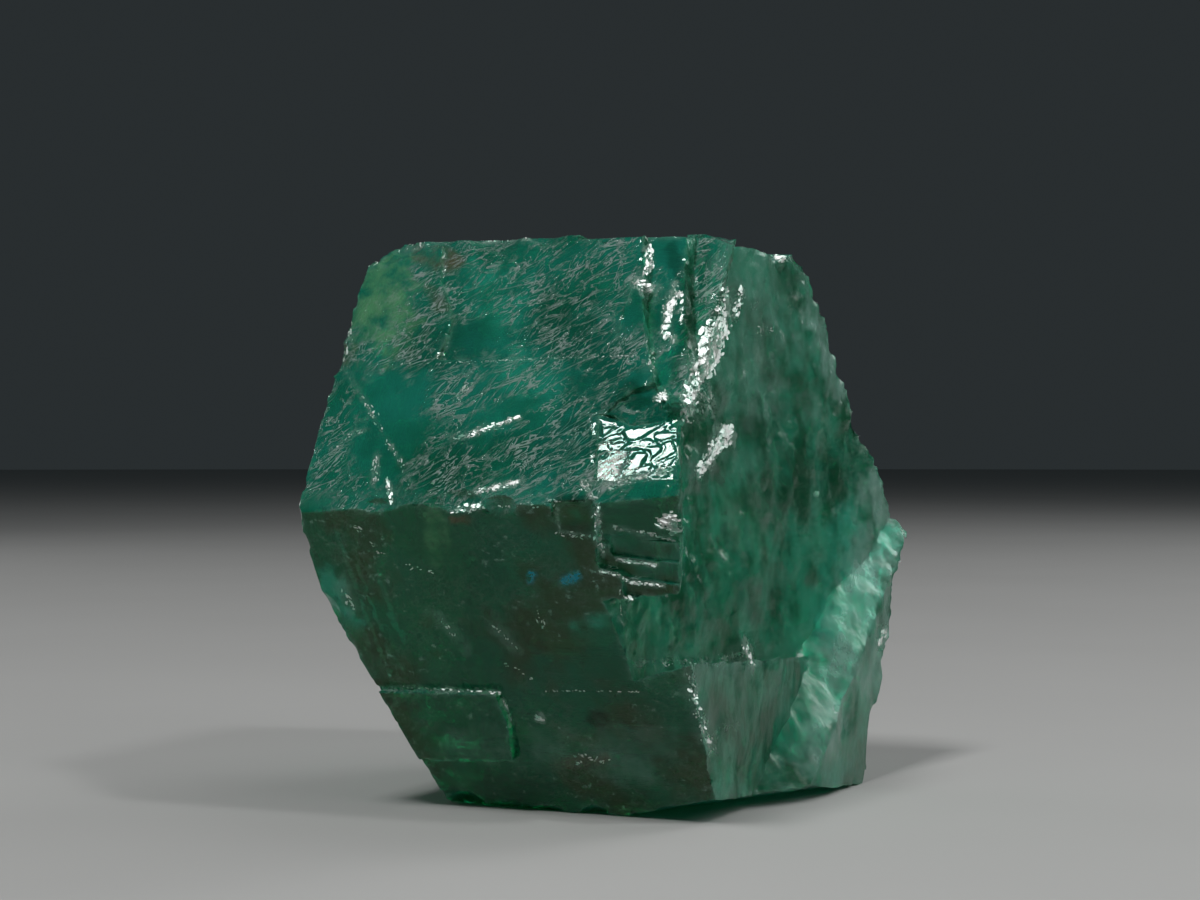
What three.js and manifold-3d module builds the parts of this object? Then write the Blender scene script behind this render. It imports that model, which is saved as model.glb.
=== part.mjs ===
// A rough emerald crystal, as it grew and broke: a short hexagonal beryl prism that lies on one of its
// six prism faces. Its left end is the flat growth face, and its right end is a stepped, shell-like fracture.
//
// Millimetres, +Z up. The prism axis runs along X, the ridge that faces the viewer is the near ridge, on the
// -Y side, and the finished part has its origin at the centre of its box, on the surface that it rests on.

import * as THREE from "three";
import { mergeVertices } from "three/addons/utils/BufferGeometryUtils.js";
import Module from "manifold-3d";

const wasm = await Module();
wasm.setup();

// Driving dimensions of the prism.
const LENGTH = 8.5; // along the prism axis, growth face to the furthest point of the broken end
const ACROSS_FLATS = 12; // height, from the face it rests on to the top face
const ACROSS_RIDGES = 13.9; // depth, from the near ridge to the far ridge
const NEAR_RIDGE_Z = 6.5;
const FAR_RIDGE_Z = 5.6;

const REACH = 40; // a half space is a box of this size, far larger than the crystal
const PROUD = 2; // how far a cutter stands out of the face that it cuts
const PRISM_TILT = Math.tan(Math.PI / 6); // run per rise of a sloping prism face, 60 degrees from level

// The broken end's main plane is x = base + perZ * z + perY * y, worked out from where its outline shows.
const FRACTURE = { base: -1.875, perZ: -0.075, perY: 0.145 };
// Ripples spread over it from a centre, longer and lower the further they go, over a slow bow.
const RIPPLE = {
  centreY: 2.5,
  centreZ: 12.5,
  length: 1.9,
  lengthening: 0.08,
  height: 0.07,
  fadeOver: 13,
  least: 0.4,
};
const BOW_DEPTH = 0.22;
const UNEVEN_HEIGHT = 0.05;
const FRACTURE_GRID = { step: 0.42, margin: 1 };

const GROWTH_LINE_DEPTH = [0.03, 0.12];
const CHIP = { radius: [0.35, 1.3], bite: [0.03, 0.15], lean: 2.2, uneven: 0.04, detail: 4 };
const CHIPS_PER_RIDGE = 9;
const CHIPS_PER_RIM = 6;

const point = (x, y, z) => new THREE.Vector3(x, y, z);
const middle = point(-LENGTH / 2, ACROSS_RIDGES / 2, ACROSS_FLATS / 2); // a point deep inside the crystal

// A source of seeded random numbers within given limits, so that every build is the same crystal.
function spreadOf(seed) {
  let state = seed;
  return (low, high) => {
    state = (Math.imul(state, 1664525) + 1013904223) >>> 0;
    return low + ((high - low) * state) / 2 ** 32;
  };
}

// A closed three.js geometry as a manifold solid.
function solidOf(geometry) {
  const plain = geometry.clone();
  plain.deleteAttribute("normal");
  plain.deleteAttribute("uv");
  const merged = mergeVertices(plain, 1e-4);
  return new wasm.Manifold(
    new wasm.Mesh({
      numProp: 3,
      vertProperties: new Float32Array(merged.attributes.position.array),
      triVerts: new Uint32Array(merged.index.array),
    }),
  );
}

// A manifold solid as a flat-shaded three.js geometry.
function geometryOf(solid) {
  const mesh = solid.getMesh();
  const geometry = new THREE.BufferGeometry();
  geometry.setAttribute("position", new THREE.BufferAttribute(new Float32Array(mesh.vertProperties), 3));
  geometry.setIndex(new THREE.BufferAttribute(new Uint32Array(mesh.triVerts), 1));
  const faceted = geometry.toNonIndexed();
  faceted.computeVertexNormals();
  return faceted;
}

// All the space on the side of a plane that its normal points to.
function halfSpace(onPlane, normal) {
  const turn = new THREE.Quaternion().setFromUnitVectors(point(0, 0, 1), normal.clone().normalize());
  const box = new THREE.BoxGeometry(REACH, REACH, REACH)
    .translate(0, 0, REACH / 2)
    .applyQuaternion(turn)
    .translate(onPlane.x, onPlane.y, onPlane.z);
  return solidOf(box);
}

// The half space beyond the plane through three points, on the side away from a point that is kept.
function beyond(a, b, c, kept) {
  const normal = b.clone().sub(a).cross(c.clone().sub(a)).normalize();
  if (normal.dot(kept.clone().sub(a)) > 0) normal.negate();
  return halfSpace(a, normal);
}

const union = (solids) => solids.reduce((all, solid) => all.add(solid));
const cutAll = (solid, cutters) => cutters.reduce((rest, cutter) => rest.subtract(cutter), solid);

// The cross-section's corners as [y, z], clockwise when seen from +X, starting at the near ridge.
const corners = {
  near: [0, NEAR_RIDGE_Z],
  topFront: [(ACROSS_FLATS - NEAR_RIDGE_Z) * PRISM_TILT, ACROSS_FLATS],
  topBack: [ACROSS_RIDGES - (ACROSS_FLATS - FAR_RIDGE_Z) * PRISM_TILT, ACROSS_FLATS],
  far: [ACROSS_RIDGES, FAR_RIDGE_Z],
  bottomBack: [ACROSS_RIDGES - FAR_RIDGE_Z * PRISM_TILT, 0],
  bottomFront: [NEAR_RIDGE_Z * PRISM_TILT, 0],
};

// A face's own frame: u and v run in the face, and w out of it.
function faceFrame(origin, u, v) {
  const matrix = new THREE.Matrix4().makeBasis(u, v, u.clone().cross(v)).setPosition(origin);
  return { matrix, at: (along, across, out = 0) => point(along, across, out).applyMatrix4(matrix) };
}

// A prism face's frame: u runs along the prism axis and v from its first corner to its second.
function prismFace([fromY, fromZ], [toY, toZ]) {
  return faceFrame(point(0, fromY, fromZ), point(1, 0, 0), point(0, toY - fromY, toZ - fromZ).normalize());
}

const faces = {
  upperFront: prismFace(corners.near, corners.topFront),
  top: prismFace(corners.topFront, corners.topBack),
  upperBack: prismFace(corners.topBack, corners.far),
  lowerBack: prismFace(corners.far, corners.bottomBack),
  lowerFront: prismFace(corners.bottomFront, corners.near),
  growth: faceFrame(point(-LENGTH, 0, 0), point(0, -1, 0), point(0, 0, 1)),
};
const LOWER_FRONT_WIDTH = Math.hypot(...corners.bottomFront.map((value, i) => value - corners.near[i]));

const outlineOf = (points) => new THREE.Shape(points.map(([u, v]) => new THREE.Vector2(u, v)));

// The column over an outline drawn on a face, from `low` to `high` along the face's outward direction.
function column(face, outline, low, high) {
  const block = new THREE.ExtrudeGeometry(outlineOf(outline), { depth: high - low, bevelEnabled: false });
  return solidOf(block.translate(0, 0, low).applyMatrix4(face.matrix));
}

// What a terrace takes off a face: everything over its outline, down to `depth` below the face.
const terrace = (face, depth, outline) => column(face, outline, -depth, PROUD);

// What a growth plate adds to a face: a thin slab on its outline.
const plate = (face, height, outline) => column(face, outline, -height, height);

// A shallow tilted facet: the part of a column that lies over the plane through three points of its floor.
function tiltedFacet(face, outline, floor) {
  const [a, b, c] = floor.map(([u, v, w]) => face.at(u, v, w));
  const deepInside = face.at(outline[0][0], outline[0][1], -REACH / 4);
  return column(face, outline, -PROUD, PROUD).intersect(beyond(a, b, c, deepInside));
}

function prism() {
  const section = new THREE.Shape(Object.values(corners).map(([y, z]) => new THREE.Vector2(y, z)));
  const block = new THREE.ExtrudeGeometry(section, { depth: LENGTH, bevelEnabled: false });
  // The extrusion's own x, y and z become the crystal's y, z and x.
  const turn = new THREE.Matrix4().makeBasis(point(0, 1, 0), point(0, 0, 1), point(1, 0, 0));
  return solidOf(block.translate(0, 0, -LENGTH).applyMatrix4(turn));
}

// Where the broken end's main plane lies over a point of the cross-section.
const fracturePlane = (y, z) => FRACTURE.base + FRACTURE.perZ * z + FRACTURE.perY * y;

// How far the broken end stands from its main plane at a point: ripples spread from where it was struck,
// over a slow hollow and swell.
function shellRelief(y, z) {
  const spread = Math.hypot(y - RIPPLE.centreY, z - RIPPLE.centreZ);
  const fade = Math.max(0, 1 - spread / RIPPLE.fadeOver);
  const length = RIPPLE.length + RIPPLE.lengthening * spread;
  const ripple = RIPPLE.height * (RIPPLE.least + fade) * Math.sin((2 * Math.PI * spread) / length);
  const bow = -BOW_DEPTH * Math.sin((Math.PI * y) / ACROSS_RIDGES) * Math.sin((Math.PI * z) / ACROSS_FLATS);
  const uneven = UNEVEN_HEIGHT * Math.sin(1.9 * y + 0.7 * z) * Math.cos(1.3 * z - 0.5 * y);
  return ripple + bow + uneven;
}

// The space beyond the broken end's rippled surface.
function fractureSpace() {
  const { step, margin } = FRACTURE_GRID;
  const depth = ACROSS_RIDGES + 2 * margin;
  const height = ACROSS_FLATS + 2 * margin;
  const steps = [depth, height].map((size) => Math.round(size / step));
  const block = new THREE.BoxGeometry(REACH, depth, height, 1, ...steps);
  block.translate(REACH / 2, depth / 2 - margin, height / 2 - margin);
  const places = block.attributes.position;
  for (let i = 0; i < places.count; i++) {
    const [x, y, z] = [places.getX(i), places.getY(i), places.getZ(i)];
    if (x > REACH / 2) continue;
    places.setX(i, fracturePlane(y, z) + shellRelief(y, z));
  }
  return solidOf(block);
}

// The parts of the broken end that stand out of the fracture: the corner by the near ridge, the ledges
// above it, the low block below it and the back corner that grew as a step of its own.
function standingPieces() {
  const whole = solidOf(new THREE.BoxGeometry(REACH, REACH, REACH));
  const corner = cutAll(whole, [
    halfSpace(point(0, 0, NEAR_RIDGE_Z), point(0.913, 0.407, 0.008)),
    halfSpace(point(-0.4, 0.9, 4.75), point(0.1, 0.25, -1)),
    halfSpace(point(-0.6, 1.2, 9.1), point(0.1, -0.3, 1)),
  ]);
  const ledges = cutAll(whole, [
    beyond(point(-0.45, 3.93, 11.85), point(-0.72, 1.98, 8.5), point(-1.37, 5.71, 11.65), middle),
    halfSpace(point(-0.5, 1.2, 8.05), point(0, 0.12, -1)),
  ]);
  const lowBlock = cutAll(whole, [
    halfSpace(point(-0.58, 2, 2.5), point(1, 0.02, -0.04)),
    halfSpace(point(-0.6, 2, 3.36), point(-0.3, 0.05, 1)),
  ]);
  const backStep = cutAll(whole, [
    beyond(point(0, 8.25, 1.12), point(0, 13.72, 5.42), point(-0.75, 10.08, 3.72), point(-1, 11, 1)),
  ]);
  return union([corner, ledges, lowBlock, backStep]);
}

// The narrow ledges that step down from the upper front face to the broken end.
function edgeLedges() {
  const face = faces.upperFront;
  return [
    terrace(face, 0.28, [
      [-2.3, 6.9],
      [-2.02, 5.7],
      [-1.83, 5.0],
      [-1.62, 4.1],
      [-1.33, 3.3],
      [-1.12, 2.7],
      [-0.5, 2.32],
      [1, 2.3],
      [1, 6.9],
    ]),
    terrace(face, 0.72, [
      [-1.36, 6.9],
      [-1.24, 5.9],
      [-1.02, 4.9],
      [-0.83, 4.0],
      [-0.52, 3.1],
      [-0.3, 2.62],
      [1, 2.5],
      [1, 6.9],
    ]),
  ];
}

// The small mirror-like facets and notches where the near ridge meets the broken end.
function ridgeFacets() {
  const upper = faces.upperFront;
  const lower = faces.lowerFront;
  const ridge = LOWER_FRONT_WIDTH;
  const mirror = tiltedFacet(
    upper,
    [
      [-2.16, 2.05],
      [-1.5, 1.97],
      [-1.0, 2.15],
      [0.4, 2.6],
      [0.4, 0.62],
      [-1.9, 0.55],
    ],
    [
      [-2.16, 2.05, -0.02],
      [-1.9, 0.55, -0.03],
      [-0.2, 0.7, -0.4],
    ],
  );
  const window = tiltedFacet(
    upper,
    [
      [-2.0, 2.1],
      [-1.62, 2.55],
      [-1.12, 2.78],
      [-0.8, 2.3],
      [-0.95, 2.05],
      [-1.5, 1.9],
    ],
    [
      [-2.0, 2.1, -0.05],
      [-1.12, 2.78, -0.16],
      [-1.5, 1.9, -0.3],
    ],
  );
  const lowerWindow = tiltedFacet(
    lower,
    [
      [-1.74, ridge + 0.4],
      [0.5, ridge + 0.4],
      [0.5, ridge - 0.95],
      [-1.9, ridge - 0.85],
    ],
    [
      [-1.85, ridge - 0.05, -0.04],
      [-1.85, ridge - 0.9, -0.12],
      [-0.3, ridge - 0.3, -0.22],
    ],
  );
  const stepEdges = [
    [
      [-1.72, 1.2],
      [-0.82, 1.31],
      [0.5, 1.4],
    ],
    [
      [-2.0, 1.42],
      [-1.64, 1.5],
      [-1.45, 1.66],
      [-0.77, 1.77],
      [0.5, 1.9],
    ],
    [
      [-1.6, 2.05],
      [-1.1, 2.14],
      [0.5, 2.25],
    ],
  ];
  const lowerSteps = stepEdges.map((edge, i) => {
    const above = ridge - 0.75 - 0.2 * i;
    const lowEdge = edge.map(([u, below]) => [u, ridge - below]);
    return terrace(lower, 0.2 - 0.06 * i, [...lowEdge, [0.5, above], [edge[0][0] + 0.04, above]]);
  });
  const notch = halfSpace(point(0, 0.1, NEAR_RIDGE_Z + 0.35), point(0.05, -1, -0.3)).intersect(
    column(
      faces.growth,
      [
        [2, NEAR_RIDGE_Z - 0.9],
        [2, NEAR_RIDGE_Z + 0.7],
        [-2, NEAR_RIDGE_Z + 0.7],
        [-2, NEAR_RIDGE_Z - 0.9],
      ],
      1.86 - LENGTH,
      2.74 - LENGTH,
    ),
  );
  return [mirror, window, lowerWindow, ...lowerSteps, notch];
}

// Planes that the break and wear have taken off the prism's corners.
function brokenCorners() {
  const upper = faces.upperFront;
  const leftFacet = beyond(upper.at(-8.24, 3.16), upper.at(-5.78, 0.32), upper.at(-LENGTH, 0, -0.2), middle);
  const topLeft = beyond(point(-8.42, 2.93, 11.58), point(-7.9, 3.2, 12), point(-8.5, 7, 11.85), middle);
  const lowerLeft = beyond(point(-8.48, 1.17, 4.47), point(-7.09, 3.57, 0.31), point(-8.5, 8.5, 0.4), middle);
  const lowerRight = beyond(point(0, 10.4, 0), point(-0.3, 2.8, 0.68), point(-2.6, 4.2, 0), middle);
  const topRight = beyond(point(-1.2, 3, 12), point(-0.45, 3, 11.72), point(-1.2, 6, 12), middle);
  const topBack = beyond(point(-2.4, 9.9, 12), point(-1.5, 10.5, 11.5), point(-2.6, 10.4, 11.65), middle);
  const farLeft = beyond(point(-8.5, 11.6, 8.6), point(-7.4, 13.3, 6.6), point(-8.1, 12.6, 3.4), middle);
  return [leftFacet, topLeft, lowerLeft, lowerRight, topRight, topBack, farLeft];
}

// The low terrace on the upper front face, whose edge is the fine line that crosses it.
function frontTerrace() {
  return terrace(faces.upperFront, 0.05, [
    [-6.1, 3.42],
    [-2.6, 3.38],
    [-2.2, 3.9],
    [-2.0, 6.9],
    [-6.9, 6.9],
    [-6.6, 5.4],
    [-6.0, 4.3],
  ]);
}

// Growth lines on a prism face: shallow flats of uneven length, drawn out along the prism axis.
function growthLines(face, width, count, seed) {
  const between = spreadOf(seed);
  return Array.from({ length: count }, (_, i) => {
    const low = (width * (i + between(-0.2, 0.4))) / count;
    const high = low + (width / count) * between(0.5, 1.5);
    const left = between(-LENGTH - 3, -2.5);
    const right = left + between(2, 6);
    const outline = [
      [left, low],
      [right, low + between(-0.06, 0.06)],
      [right + between(-0.9, 0.9), (low + high) / 2],
      [right + between(-0.9, 0.9), high],
      [left + between(-0.9, 0.9), high + between(-0.06, 0.06)],
    ];
    return terrace(face, between(...GROWTH_LINE_DEPTH), outline);
  });
}

// Low six-sided steps on the growth face at the left end, each a shallower floor inside the last.
function growthFaceSteps() {
  const centre = [-7.4, 6.4];
  const sizes = [4.6, 3.5, 1.7];
  const depths = [0.1, 0.19, 0.3];
  return sizes.map((size, i) => {
    const outline = Array.from({ length: 6 }, (_, k) => {
      const angle = (k * Math.PI) / 3;
      const stretch = k % 3 === 0 ? 1.08 : 0.92;
      return [
        centre[0] + 0.5 * i + size * stretch * Math.cos(angle),
        centre[1] - 0.35 * i + size * stretch * Math.sin(angle),
      ];
    });
    return terrace(faces.growth, depths[i], outline);
  });
}

// The growth plate low on the lower front face.
function lowerPlate() {
  return plate(faces.lowerFront, 0.15, [
    [-8.0, 2.98],
    [-5.0, 3.05],
    [-4.9, 2.2],
    [-5.0, 1.35],
    [-7.6, 1.2],
  ]);
}

// A ball with an uneven surface, which leaves a shell-shaped chip where it bites an edge.
function unevenBall(radius, phase) {
  const ball = new THREE.IcosahedronGeometry(radius, CHIP.detail);
  const places = ball.attributes.position;
  const place = point(0, 0, 0);
  for (let i = 0; i < places.count; i++) {
    place.fromBufferAttribute(places, i);
    const { x, y, z } = place.clone().divideScalar(radius);
    const swell = Math.sin(5.3 * x + phase) * Math.sin(6.1 * y - phase) + Math.sin(7.7 * z + 2 * phase);
    place.multiplyScalar(1 + CHIP.uneven * swell);
    places.setXYZ(i, place.x, place.y, place.z);
  }
  return ball;
}

// Chips along an edge. Each is a large ball that stands outside the crystal and bites a little way into it.
function chipsAlong(from, to, count, between) {
  return Array.from({ length: count }, () => {
    const radius = between(...CHIP.radius);
    const bite = between(...CHIP.bite);
    const place = from.clone().lerp(to, between(0, 1));
    const outward = place.clone().sub(middle);
    outward.add(point(between(-1, 1), between(-1, 1), between(-1, 1)).multiplyScalar(CHIP.lean));
    const centre = place.addScaledVector(outward.normalize(), radius - bite);
    return solidOf(unevenBall(radius, between(0, 6)).translate(centre.x, centre.y, centre.z));
  });
}

// Chips on the long ridges, on the rim of the growth face and on the back half of the broken end's rim.
function ridgeChips() {
  const between = spreadOf(11);
  const places = Object.values(corners);
  const onBreak = ([y, z]) => point(fracturePlane(y, z), y, z);
  return places.flatMap(([y, z], i) => {
    const [nextY, nextZ] = places[(i + 1) % places.length];
    const ridge = chipsAlong(point(-LENGTH, y, z), point(-2.9, y, z), CHIPS_PER_RIDGE, between);
    const rim = chipsAlong(point(-LENGTH, y, z), point(-LENGTH, nextY, nextZ), CHIPS_PER_RIM, between);
    const brink = chipsAlong(onBreak([y, z]), onBreak([nextY, nextZ]), CHIPS_PER_RIM, between);
    const atTheBack = i > 0 && i < 4;
    return [...ridge, ...rim, ...(atTheBack ? brink : [])];
  });
}

function crystal() {
  const fracture = fractureSpace().subtract(standingPieces());
  const cutters = [
    fracture,
    ...edgeLedges(),
    ...ridgeFacets(),
    ...brokenCorners(),
    frontTerrace(),
    ...growthLines(faces.top, ACROSS_RIDGES / 2, 7, 3),
    ...growthLines(faces.upperBack, ACROSS_RIDGES / 2, 9, 5),
    ...growthLines(faces.lowerBack, ACROSS_RIDGES / 2, 8, 7),
    ...growthFaceSteps(),
    ...ridgeChips(),
  ];
  return cutAll(prism().add(lowerPlate()), cutters);
}

// The crystal's geometry with its origin at the centre of its box, on its lowest plane.
function standingOnOrigin(geometry) {
  geometry.computeBoundingBox();
  const { min, max } = geometry.boundingBox;
  return geometry.translate(-(min.x + max.x) / 2, -(min.y + max.y) / 2, -min.z);
}

const emerald = new THREE.MeshStandardMaterial({ color: 0x0f5a43, roughness: 0.25, metalness: 0 });
const emeraldCrystal = new THREE.Mesh(standingOnOrigin(geometryOf(crystal())), emerald);
emeraldCrystal.name = "emerald_crystal";

const part = new THREE.Group();
part.add(emeraldCrystal);

export default part;
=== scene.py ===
"""The emerald crystal's look: a finely meshed copy of its solid, its materials, the light and the camera."""
import math
from collections import namedtuple

import bmesh
import bpy
import numpy as np
from mathutils import Matrix, Vector, noise
from mathutils.bvhtree import BVHTree
from mathutils.geometry import delaunay_2d_cdt


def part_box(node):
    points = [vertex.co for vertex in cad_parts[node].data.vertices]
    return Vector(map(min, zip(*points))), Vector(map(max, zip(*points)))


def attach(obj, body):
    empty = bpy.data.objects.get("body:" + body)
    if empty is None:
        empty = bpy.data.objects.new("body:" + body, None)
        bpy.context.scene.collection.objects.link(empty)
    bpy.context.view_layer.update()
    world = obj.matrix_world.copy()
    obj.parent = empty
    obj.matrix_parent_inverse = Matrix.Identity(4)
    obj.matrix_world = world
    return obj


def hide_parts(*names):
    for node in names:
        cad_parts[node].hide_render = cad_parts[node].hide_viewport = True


bpy.ops.wm.read_factory_settings(use_empty=True)
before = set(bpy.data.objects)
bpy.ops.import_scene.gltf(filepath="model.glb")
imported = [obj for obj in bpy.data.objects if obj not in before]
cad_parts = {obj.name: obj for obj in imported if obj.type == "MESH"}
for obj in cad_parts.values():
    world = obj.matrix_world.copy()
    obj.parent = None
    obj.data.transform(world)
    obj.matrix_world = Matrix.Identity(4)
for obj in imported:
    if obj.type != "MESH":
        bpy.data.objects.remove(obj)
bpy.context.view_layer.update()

NODE = "emerald_crystal"
MM = 0.001

# The prism's own frame, in mm: x runs along the prism to 0 at the broken end, y from the near ridge, z up.
LOW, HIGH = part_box(NODE)
ORIGIN = Vector((HIGH[0], LOW[1], LOW[2])) / MM

# The camera, from the photograph: level, and 25 degrees round to the right.
# Its focal length is in the photograph's pixels, its place and its sensor in mm.
PHOTO_WIDTH = 1200
PHOTO_HEIGHT = 900
FOCAL_PIXELS = 2400
CAMERA_TURN = math.radians(25)
CAMERA_PLACE = Vector((21.908, -48.368, 7.57))
SENSOR = 36
NEAREST_SEEN = 1

# The way from the mirror-like spot to the two lights that make flakes glint: the key light, and a small one
# that reaches the break.
LIGHT_DISTANCE = 150
KEY_WAY = Vector((-0.068, -0.513, 0.856))
BREAK_WAY = Vector((0.621, -0.166, 0.766))

# Triangle sizes of the fine mesh, in mm: finest round the mirror-like spot, and coarser towards the back.
FINEST, FINE, COARSE = 0.04, 0.066, 0.14
FINE_DEPTH = 5.0
MIRROR_CENTRE = Vector((-1.2, 0.6, 7.6))
MIRROR_REACH = 1.3

# How far a grid point strays, and how far it keeps from its region's outline, as shares of the triangle size.
GRID_WOBBLE = 0.12
GRID_CLEARANCE = 0.55
GRID_SEED = 5

# What counts as one plane, one point, a sliver and a sharp edge.
FLAT_ANGLE = math.radians(0.4)
WELD = 2e-3
SAME_PLACE = 1e-9
TINY = 1e-18
SLIVER = 1e-4
SHARP_ANGLE = math.radians(28)

Flat = namedtuple("Flat", "origin across along")


# Fine mesh: the solid's flat regions are filled with small even triangles, so its edges stay crisp.

def solid_in_mm():
    """The solid's mesh as a clean triangle mesh in the prism's own frame."""
    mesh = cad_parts[NODE].data.copy()
    mesh.transform(Matrix.Translation(-ORIGIN) @ Matrix.Scale(1 / MM, 4))
    bm = bmesh.new()
    bm.from_mesh(mesh)
    bpy.data.meshes.remove(mesh)
    bmesh.ops.remove_doubles(bm, verts=bm.verts, dist=WELD)
    bmesh.ops.dissolve_degenerate(bm, edges=bm.edges, dist=WELD / 2)
    bmesh.ops.triangulate(bm, faces=bm.faces)
    bm.verts.index_update()
    bm.edges.index_update()
    bm.faces.index_update()
    bm.normal_update()
    return bm


def spacing_at(place):
    """The triangle size wanted at a place."""
    if (place - MIRROR_CENTRE).length < MIRROR_REACH:
        return FINEST
    return FINE if place.y < FINE_DEPTH else COARSE


def flat_regions(bm):
    """Groups of faces that lie in one plane, and each face's group number."""
    region_of = {}
    regions = []
    for seed in bm.faces:
        if seed.index in region_of:
            continue
        region, waiting = [], [seed]
        region_of[seed.index] = len(regions)
        while waiting:
            face = waiting.pop()
            region.append(face)
            for edge in face.edges:
                if edge.calc_face_angle(math.pi) > FLAT_ANGLE:
                    continue
                for other in edge.link_faces:
                    if other.index not in region_of:
                        region_of[other.index] = len(regions)
                        waiting.append(other)
        regions.append(region)
    return regions, region_of


def divided_edges(bm, region_of, points):
    """Each edge between two regions as a chain of point numbers, with new points added to the list."""
    chains = {}
    for edge in bm.edges:
        first, second = edge.link_faces
        if region_of[first.index] == region_of[second.index]:
            continue
        start, end = edge.verts
        count = math.ceil(edge.calc_length() / spacing_at((start.co + end.co) / 2))
        chain = [start.index]
        for i in range(1, count):
            chain.append(len(points))
            points.append(start.co.lerp(end.co, i / count))
        chains[edge.index] = chain + [end.index]
    return chains


def plane_of(region):
    """The plane of a region's largest face, with two directions in it."""
    largest = max(region, key=lambda face: face.calc_area())
    across = largest.normal.orthogonal().normalized()
    return Flat(largest.verts[0].co.copy(), across, largest.normal.cross(across))


def flattened(plane, points):
    """The points' places across and along a plane."""
    offsets = np.array([tuple(point - plane.origin) for point in points])
    return np.stack([offsets @ np.array(plane.across), offsets @ np.array(plane.along)], 1)


def inside_outline(at, starts, ends):
    """Whether each point is inside a closed outline, and how far it is from it."""
    crossings = np.zeros(len(at), int)
    nearest = np.full(len(at), np.inf)
    for a, b in zip(starts, ends):
        if a[1] != b[1]:
            straddles = (a[1] > at[:, 1]) != (b[1] > at[:, 1])
            crossing = a[0] + (at[:, 1] - a[1]) / (b[1] - a[1]) * (b[0] - a[0])
            crossings += straddles & (at[:, 0] < crossing)
        along = b - a
        share = np.clip((at - a) @ along / max(along @ along, TINY), 0, 1)
        nearest = np.minimum(nearest, np.linalg.norm(at - a - share[:, None] * along, axis=1))
    return crossings % 2 == 1, nearest


def even_grid(starts, ends, spacing, random):
    """Slightly uneven grid points inside an outline, clear of its edge."""
    low, high = starts.min(0), starts.max(0)
    if min(high - low) <= spacing:
        return np.zeros((0, 2))
    rows = []
    row_spacing = spacing * math.sqrt(3) / 2
    for number, height in enumerate(np.arange(low[1], high[1], row_spacing)):
        places = np.arange(low[0] + number % 2 * spacing / 2, high[0], spacing)
        rows.append(np.stack([places, np.full(len(places), height)], 1))
    grid = np.concatenate(rows)
    grid += random.uniform(-GRID_WOBBLE, GRID_WOBBLE, grid.shape) * spacing
    inside, nearest = inside_outline(grid, starts, ends)
    return grid[inside & (nearest > GRID_CLEARANCE * spacing)]


def twice_area_share(corners):
    """Twice each triangle's area, over the square of its longest side."""
    sides = np.roll(corners, -1, axis=1) - corners
    twice_area = np.abs(sides[:, 0, 0] * sides[:, 1, 1] - sides[:, 0, 1] * sides[:, 1, 0])
    return twice_area / (sides ** 2).sum(2).max(1)


def outline_segments(region, chains):
    """The short segments round a region, each as two point numbers."""
    segments = []
    for face in region:
        for edge in face.edges:
            if edge.index in chains:
                chain = chains[edge.index]
                segments += zip(chain, chain[1:])
    return segments


def triangles_between(flat_points, edges, starts, ends):
    """Triangles between a region's points, without slivers and without those beyond its outline."""
    places = [Vector(place) for place in flat_points]
    _, _, triangles, sources, _, _ = delaunay_2d_cdt(places, edges, [], 0, SAME_PLACE, True)
    triangles = np.array([[sources[i][0] for i in triangle] for triangle in triangles])
    corners = flat_points[triangles]
    kept = twice_area_share(corners) > SLIVER
    if len(edges) > 3:
        kept &= inside_outline(corners.mean(1), starts, ends)[0]
    return triangles[kept]


def fill_region(region, chains, points, faces, random):
    """Fills one flat region with triangles that meet its neighbours along the divided edges."""
    plane = plane_of(region)
    segments = outline_segments(region, chains)
    used = sorted({number for segment in segments for number in segment})
    outline = flattened(plane, [points[number] for number in used])
    place = {number: i for i, number in enumerate(used)}
    edges = [(place[a], place[b]) for a, b in segments]
    starts = outline[[a for a, _ in edges]]
    ends = outline[[b for _, b in edges]]
    middle = (outline.min(0) + outline.max(0)) / 2
    centre = plane.origin + plane.across * middle[0] + plane.along * middle[1]
    grid = even_grid(starts, ends, spacing_at(centre), random)
    numbers = used + list(range(len(points), len(points) + len(grid)))
    points += [plane.origin + plane.across * x + plane.along * y for x, y in grid]
    triangles = triangles_between(np.concatenate([outline, grid]), edges, starts, ends)
    faces += [[numbers[i] for i in triangle] for triangle in triangles]


def fine_mesh():
    """The points and triangles of the fine mesh, in mm."""
    bm = solid_in_mm()
    regions, region_of = flat_regions(bm)
    points = [vertex.co.copy() for vertex in bm.verts]
    chains = divided_edges(bm, region_of, points)
    faces = []
    random = np.random.default_rng(GRID_SEED)
    for region in regions:
        fill_region(region, chains, points, faces, random)
    bm.free()
    faces = np.array(faces)
    used, faces = np.unique(faces, return_inverse=True)
    return np.array([tuple(points[i]) for i in used]), faces.reshape(-1, 3)


# Helpers that measure the mesh and make noise on it.

def face_normals(points, faces):
    """Each triangle's normal, as long as twice its area."""
    corners = points[faces]
    return np.cross(corners[:, 1] - corners[:, 0], corners[:, 2] - corners[:, 0])


def unit(vectors):
    return vectors / np.maximum(np.linalg.norm(vectors, axis=1, keepdims=True), TINY)


def vertex_normals(points, faces):
    """Each point's normal, the mean of its triangles' normals by area."""
    normals = face_normals(points, faces)
    total = np.zeros_like(points)
    for corner in range(3):
        np.add.at(total, faces[:, corner], normals)
    return unit(total)


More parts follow.
